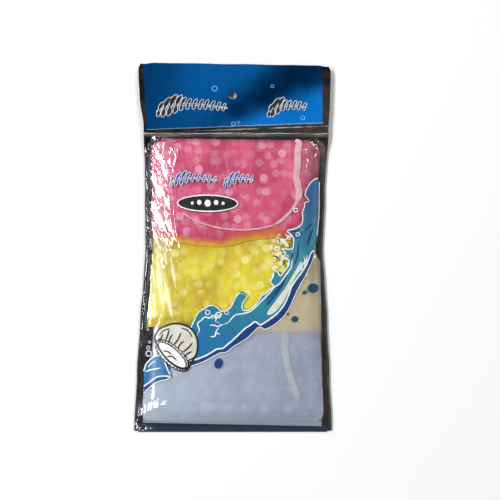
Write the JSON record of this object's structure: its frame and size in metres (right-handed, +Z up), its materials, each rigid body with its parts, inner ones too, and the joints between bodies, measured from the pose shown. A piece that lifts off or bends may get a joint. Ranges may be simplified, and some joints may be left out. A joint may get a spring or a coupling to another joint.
{
  "type": "shower cap pack",
  "caption": "Flat header bag of clear film holding folded film shower caps, with a hang hole and a closing flap.",
  "frame": {"origin": "on the table, under the middle of the pack as it lies on its back", "axes": "+Z up from the table to the printed front, +Y along the pack to the hanging header, +X to the right as the front is looked at"},
  "size_m": [0.14, 0.2676, 0.0106],
  "materials": {
    "back_film": "dark smoked clear film, glossy",
    "front_film": "crystal clear film, glossy, finely creased",
    "header_back": "dark film, glossy",
    "header_print": "blue reverse-printed film, glossy",
    "adhesive": "satin pressure-sensitive adhesive tape",
    "pink_film": "pink dotted soft film, satin gloss",
    "yellow_film": "yellow dotted soft film, satin gloss",
    "lavender_film": "pale lavender dotted soft film, satin gloss",
    "elastic": "soft woven elastic under film"
  },
  "bodies": {
    "pouch": {"back_film": "back_film", "front_film": "front_film"},
    "header": {"header_back_ply": "header_back", "header_front_ply": "header_print"},
    "flap": {"closing_flap": "front_film", "adhesive_strip": "adhesive"},
    "pink_cap": {"pink_cap_film": "pink_film", "pink_elastic": "elastic"},
    "yellow_cap": {"yellow_cap_film": "yellow_film", "yellow_elastic": "elastic"},
    "lavender_cap": {"lavender_cap_film": "lavender_film", "lavender_elastic": "elastic"}
  },
  "joints": [
    {"name": "header_fold", "type": "hinge", "parent": "pouch", "child": "header", "pos_m": [0, 0.0798, 0.0046], "axis": [1, 0, 0], "range_deg": [-120, 120], "stiffness_Nm_per_rad": 0.01},
    {"name": "flap_fold", "type": "hinge", "parent": "pouch", "child": "flap", "pos_m": [0, -0.1332, 0.0001], "axis": [-1, 0, 0], "range_deg": [0, 180]},
    {"name": "pink_slide", "type": "slide", "parent": "pouch", "child": "pink_cap", "axis": [0, -1, 0], "range_m": [0, 0.22], "deforming": ["front_film"]},
    {"name": "yellow_slide", "type": "slide", "parent": "pink_cap", "child": "yellow_cap", "axis": [0, -1, 0], "range_m": [0, 0.165], "deforming": ["front_film"]},
    {"name": "lavender_slide", "type": "slide", "parent": "yellow_cap", "child": "lavender_cap", "axis": [0, -1, 0], "range_m": [0, 0.11], "deforming": ["front_film"]}
  ]
}
